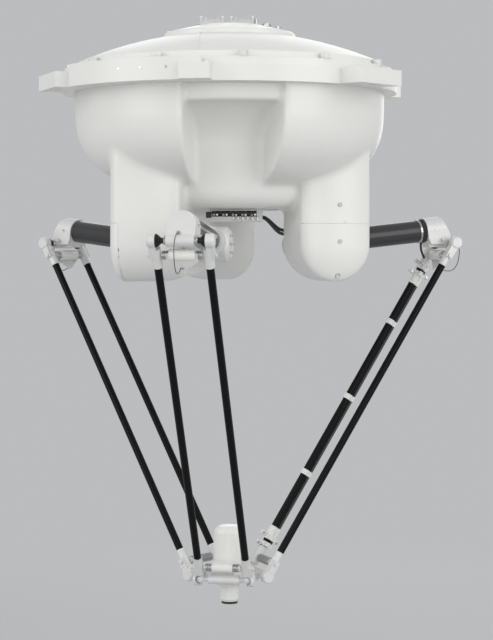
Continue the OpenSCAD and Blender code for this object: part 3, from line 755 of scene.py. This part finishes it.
lug_places = ((0.060, 1), (0.080, -1), (0.086, 1),
              (rod_length - 0.086, 1), (rod_length - 0.080, -1), (rod_length - 0.062, 1))
lugs, lug_screws = [], []
for down, side in lug_places:
    out = 0.0165 if side > 0 else 0.0205
    at_lug = rod_place(2, 1) @ Matrix.Translation((side * out, -0.002, down))
    on_lug = Matrix.Translation((side * 0.001, -0.0038, 0)) @ outward(-1)
    lugs.append(block((0.012, 0.008, 0.009), at_lug, 0.0014))
    lug_screws.append(screw(0.0030, 0.0026, at_lug @ on_lug))
placed(together(*lugs), "clamp_lugs", white_nylon, "rod_pair_2")
placed(together(*lug_screws), "clamp_screws", steel, "rod_pair_2")


# ---------- Platform ----------
# The platform is one cast and turned aluminium plate, with three short cross shafts for the
# lower balls in its housings.
softened("platform_plate", 0.0012, cast_aluminium, "platform")
finish(cast_aluminium, "platform_shafts")


# ---------- Tool motor, cover and flange ----------
# A small motor under a painted cover turns the flange that carries the gripper. A black
# rubber ring seals the flange's lower end, and a small painted box stands at the front.
finish(motor_black, "tool_motor")
softened("motor_cover", 0.0012, white_paint, "platform")
softened("platform_box", 0.0012, white_paint, "platform")
softened("tool_flange", 0.0008, white_paint, "tool")

gasket_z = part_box("tool_flange")[0].z + 0.0002
gasket_profile = [(0.0170, 0.0), (0.0176, 0.0004), (0.0178, 0.0012),
                  (0.0178, 0.0042), (0.0172, 0.0050), (0.0170, 0.0050)]
gasket = spun(gasket_profile, Matrix.Translation((0, 0, gasket_z)), 48)
placed(gasket, "flange_gasket", liner_black, "tool")


# ---------- Studio ----------
# A wide plain floor, well under the tool, turns into the backdrop's pale grey with distance, so
# that no horizon shows. Four large soft lamps stand round the robot.
pale_grey = (0.50, 0.505, 0.515)
floor_z, floor_size = -1.42, 14.0
fade_from, fade_width = 2.0, 1.2
floor = bpy.data.meshes.new("studio_floor")
plane = bmesh.new()
bmesh.ops.create_grid(plane, x_segments=1, y_segments=1, size=floor_size,
                      matrix=Matrix.Translation((0, 0, floor_z)))
plane.to_mesh(floor)
plane.free()
paving = Graph("studio_floor")
mottle = paving.noise(0.6, 2.0).clamped()
paving.feed("Base Color", paving.mixed(mottle, (0.435, 0.44, 0.45), (0.45, 0.455, 0.465)))
paving.feed("Roughness", 0.8)
glow = paving.node("ShaderNodeEmission", {}, {"Color": (*pale_grey, 1.0), "Strength": 1.0})
spot = paving.node("ShaderNodeVectorMath", {"operation": "LENGTH"}, {0: paving.place})
ray = paving.node("ShaderNodeLightPath")
seen_ray = Socket(paving, ray.outputs["Is Camera Ray"]) + Socket(paving, ray.outputs["Is Glossy Ray"])
far = ((Socket(paving, spot.outputs["Value"]) - fade_from) / fade_width).clamped() * seen_ray.clamped()
blend = paving.node("ShaderNodeMixShader", {},
                    {0: far, 1: paving.shader.outputs["BSDF"], 2: glow.outputs["Emission"]})
paving.node("ShaderNodeOutputMaterial", {"is_active_output": True}, {"Surface": blend.outputs["Shader"]})
floor.materials.append(paving.material)
floor_piece = bpy.data.objects.new("studio_floor", floor)
bpy.context.scene.collection.objects.link(floor_piece)

# The air lights the robot evenly, and shows as the same pale grey wherever it is seen.
world = bpy.data.worlds.new("studio_air")
world.use_nodes = True
air_nodes, links = world.node_tree.nodes, world.node_tree.links
air = air_nodes["Background"]
air.inputs["Color"].default_value = (0.985, 0.99, 1.0, 1.0)
air.inputs["Strength"].default_value = 0.82
seen = air_nodes.new("ShaderNodeBackground")
seen.inputs["Color"].default_value = (*pale_grey, 1.0)
seen.inputs["Strength"].default_value = 1.0
path = air_nodes.new("ShaderNodeLightPath")
seen_share = path.outputs["Is Camera Ray"]
for kind in ("Is Glossy Ray", "Is Transmission Ray"):
    total = air_nodes.new("ShaderNodeMath")
    total.operation, total.use_clamp = "ADD", True
    links.new(seen_share, total.inputs[0])
    links.new(path.outputs[kind], total.inputs[1])
    seen_share = total.outputs["Value"]
either = air_nodes.new("ShaderNodeMixShader")
links.new(seen_share, either.inputs[0])
links.new(air.outputs["Background"], either.inputs[1])
links.new(seen.outputs["Background"], either.inputs[2])
links.new(either.outputs["Shader"], air_nodes["World Output"].inputs["Surface"])
bpy.context.scene.world = world


def lamp(name, place, aim, size, power):
    data = bpy.data.lights.new(name, "AREA")
    data.shape = "RECTANGLE"
    data.size, data.size_y = size
    data.energy = power
    light = bpy.data.objects.new(name, data)
    light.location = place
    light.rotation_euler = (Vector(aim) - Vector(place)).to_track_quat("-Z", "Y").to_euler()
    bpy.context.scene.collection.objects.link(light)


lamp("left_light", (-3.6, -2.6, 0.9), (0, 0, -0.45), (2.6, 3.0), 50)
lamp("right_light", (3.8, -2.2, 0.7), (0, 0, -0.45), (2.6, 3.0), 53)
lamp("front_light", (1.0, -4.8, -0.5), (0, 0, -0.5), (3.0, 3.0), 40)
lamp("back_light", (0.0, 3.8, 0.8), (0, 0, -0.4), (3.0, 2.4), 30)
bpy.context.scene.view_settings.view_transform = "Standard"
